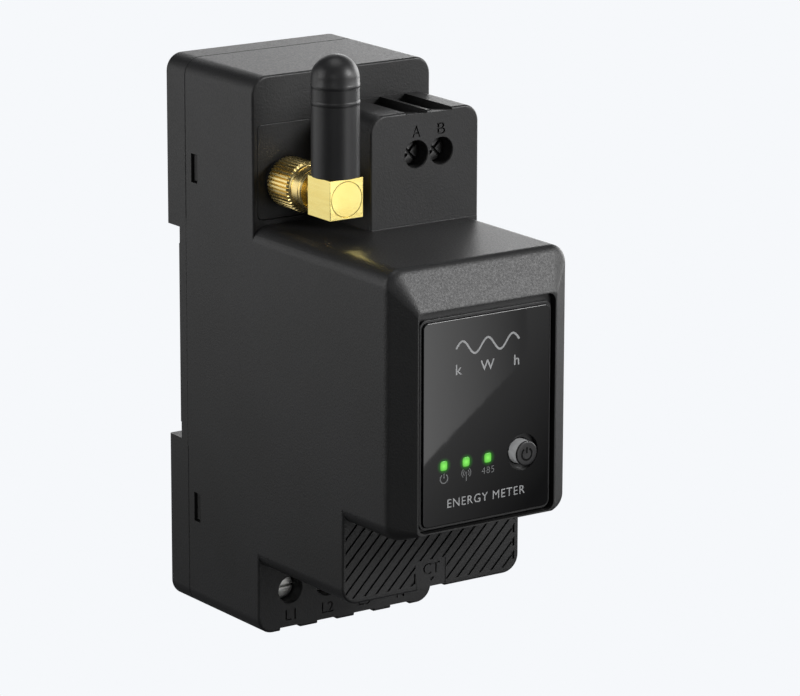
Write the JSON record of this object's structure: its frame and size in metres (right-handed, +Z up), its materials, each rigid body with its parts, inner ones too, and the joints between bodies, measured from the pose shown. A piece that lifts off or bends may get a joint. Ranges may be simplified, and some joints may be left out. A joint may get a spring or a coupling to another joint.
{
  "type": "smart electric meter",
  "caption": "Black DIN-rail electricity meter with stepped case, glossy front panel, status lights, screw terminals and a stubby right-angle aerial.",
  "frame": {"origin": "middle of the raised rail seat on the back of the case", "axes": "+Z up along the case, +X to the right seen from the front, +Y backwards into the rail; the front panel faces -Y"},
  "size_m": [0.036, 0.07, 0.1021],
  "materials": {
    "black_case": "fine spark-eroded texture, matte",
    "panel_frame": "satin black",
    "panel_gloss": "polished black, gloss",
    "green_light": "glowing green light guide",
    "led_body": "white chip package",
    "button_grey": "satin dark grey",
    "switch_black": "matte",
    "switch_metal": "stamped cover",
    "board_green": "solder mask, semi-gloss",
    "core_steel": "varnished laminations",
    "winding_tape": "polyester tape over the coil",
    "capacitor_sleeve": "shrunk sleeve",
    "varistor_blue": "dipped coating",
    "chip_black": "moulded package",
    "module_board": "solder mask",
    "shield_tin": "tinned can",
    "latch_black": "satin moulded plastic",
    "spring_steel": "drawn wire",
    "terminal_plastic": "flame-retardant moulding",
    "contact_metal": "tinned stamping",
    "screw_nickel": "nickel plated, turned",
    "screw_dark": "blackened, turned",
    "clamp_steel": "zinc plated",
    "socket_ivory": "moulded nylon",
    "nut_brass": "gold-plated, knurled",
    "elbow_brass": "gold-plated, milled",
    "washer_rubber": "moulded",
    "ptfe_white": "turned PTFE",
    "ring_steel": "spring wire",
    "whip_rubber": "smooth moulded elastomer",
    "copper_wire": "enamelled copper wire"
  },
  "bodies": {
    "meter": {"rear_cover": "black_case", "front_housing": "black_case", "antenna_plate": "black_case", "panel_carrier": "panel_frame", "front_panel": "panel_gloss", "power_light": "green_light", "radio_light": "green_light", "bus_light": "green_light", "led_chips": "led_body", "tact_switch": "switch_metal", "display_board": "board_green", "riser_board": "board_green", "power_board": "board_green", "comms_board": "board_green", "transformer_core": "core_steel", "transformer_winding": "winding_tape", "bulk_capacitors": "capacitor_sleeve", "mains_varistor": "varistor_blue", "metering_chip": "chip_black", "processor_chip": "chip_black", "radio_module": "module_board", "radio_shield": "shield_tin", "latch_spring": "spring_steel", "mains_terminal_block": "terminal_plastic", "mains_contacts": "contact_metal", "bus_terminal_block": "terminal_plastic", "bus_contacts": "contact_metal", "ct_socket": "socket_ivory", "ct_pins": "contact_metal", "sma_jack": "nut_brass", "jack_washer": "washer_rubber", "jack_insulator": "ptfe_white", "jack_contact": "nut_brass"},
    "button": {"button_cap": "button_grey", "switch_plunger": "switch_black"},
    "latch": {"din_latch": "latch_black"},
    "screw_l1": {"screw_l1": "screw_nickel"},
    "clamp_l1": {"clamp_l1": "clamp_steel"},
    "screw_l2": {"screw_l2": "screw_nickel"},
    "clamp_l2": {"clamp_l2": "clamp_steel"},
    "screw_l3": {"screw_l3": "screw_nickel"},
    "clamp_l3": {"clamp_l3": "clamp_steel"},
    "screw_n": {"screw_n": "screw_nickel"},
    "clamp_n": {"clamp_n": "clamp_steel"},
    "screw_a": {"screw_a": "screw_dark"},
    "clamp_a": {"clamp_a": "clamp_steel"},
    "screw_b": {"screw_b": "screw_dark"},
    "clamp_b": {"clamp_b": "clamp_steel"},
    "antenna": {"plug_body": "nut_brass", "plug_insulator": "ptfe_white", "plug_contact": "nut_brass", "retaining_ring": "ring_steel", "elbow_block": "elbow_brass", "elbow_cap": "elbow_brass", "whip_sleeve": "whip_rubber", "radiator_coil": "copper_wire"},
    "coupling_nut": {"coupling_nut": "nut_brass"}
  },
  "joints": [
    {"name": "button_press", "type": "slide", "parent": "meter", "child": "button", "axis": [0, 1, 0], "range_m": [0, 0.0005], "stiffness_N_per_m": 2500, "springref_m": -0.0002},
    {"name": "latch_pull", "type": "slide", "parent": "meter", "child": "latch", "axis": [0, 0, -1], "range_m": [0, 0.004], "stiffness_N_per_m": 900, "springref_m": -0.0015, "deforming": ["latch_spring"]},
    {"name": "screw_l1_turn", "type": "hinge", "parent": "meter", "child": "screw_l1", "pos_m": [-0.01143, -0.0202, -0.0411], "axis": [0, 1, 0], "range_deg": [0, 2160]},
    {"name": "clamp_l1_rise", "type": "slide", "parent": "meter", "child": "clamp_l1", "axis": [0, -1, 0], "range_m": [0, 0.003]},
    {"name": "screw_l2_turn", "type": "hinge", "parent": "meter", "child": "screw_l2", "pos_m": [-0.00381, -0.0202, -0.0411], "axis": [0, 1, 0], "range_deg": [0, 2160]},
    {"name": "clamp_l2_rise", "type": "slide", "parent": "meter", "child": "clamp_l2", "axis": [0, -1, 0], "range_m": [0, 0.003]},
    {"name": "screw_l3_turn", "type": "hinge", "parent": "meter", "child": "screw_l3", "pos_m": [0.00381, -0.0202, -0.0411], "axis": [0, 1, 0], "range_deg": [0, 2160]},
    {"name": "clamp_l3_rise", "type": "slide", "parent": "meter", "child": "clamp_l3", "axis": [0, -1, 0], "range_m": [0, 0.003]},
    {"name": "screw_n_turn", "type": "hinge", "parent": "meter", "child": "screw_n", "pos_m": [0.01143, -0.0202, -0.0411], "axis": [0, 1, 0], "range_deg": [0, 2160]},
    {"name": "clamp_n_rise", "type": "slide", "parent": "meter", "child": "clamp_n", "axis": [0, -1, 0], "range_m": [0, 0.003]},
    {"name": "screw_a_turn", "type": "hinge", "parent": "meter", "child": "screw_a", "pos_m": [0.00531, -0.0335, 0.035], "axis": [0, 1, 0], "range_deg": [0, 1920]},
    {"name": "clamp_a_rise", "type": "slide", "parent": "meter", "child": "clamp_a", "axis": [0, -1, 0], "range_m": [0, 0.0024]},
    {"name": "screw_b_turn", "type": "hinge", "parent": "meter", "child": "screw_b", "pos_m": [0.01039, -0.0335, 0.035], "axis": [0, 1, 0], "range_deg": [0, 1920]},
    {"name": "clamp_b_rise", "type": "slide", "parent": "meter", "child": "clamp_b", "axis": [0, -1, 0], "range_m": [0, 0.0024]},
    {"name": "antenna_swivel", "type": "hinge", "parent": "meter", "child": "antenna", "pos_m": [-0.0116, -0.0294, 0.0302], "axis": [0, -1, 0], "range_deg": [-13, 105]},
    {"name": "nut_spin", "type": "hinge", "parent": "antenna", "child": "coupling_nut", "pos_m": [-0.0116, -0.0262, 0.0302], "axis": [0, -1, 0], "continuous": true}
  ],
  "couplings": [
    {"joint": "screw_l1_turn", "follows": "clamp_l1_rise", "rad_per_m": 12566},
    {"joint": "screw_l2_turn", "follows": "clamp_l2_rise", "rad_per_m": 12566},
    {"joint": "screw_l3_turn", "follows": "clamp_l3_rise", "rad_per_m": 12566},
    {"joint": "screw_n_turn", "follows": "clamp_n_rise", "rad_per_m": 12566},
    {"joint": "screw_a_turn", "follows": "clamp_a_rise", "rad_per_m": 13963},
    {"joint": "screw_b_turn", "follows": "clamp_b_rise", "rad_per_m": 13963}
  ]
}
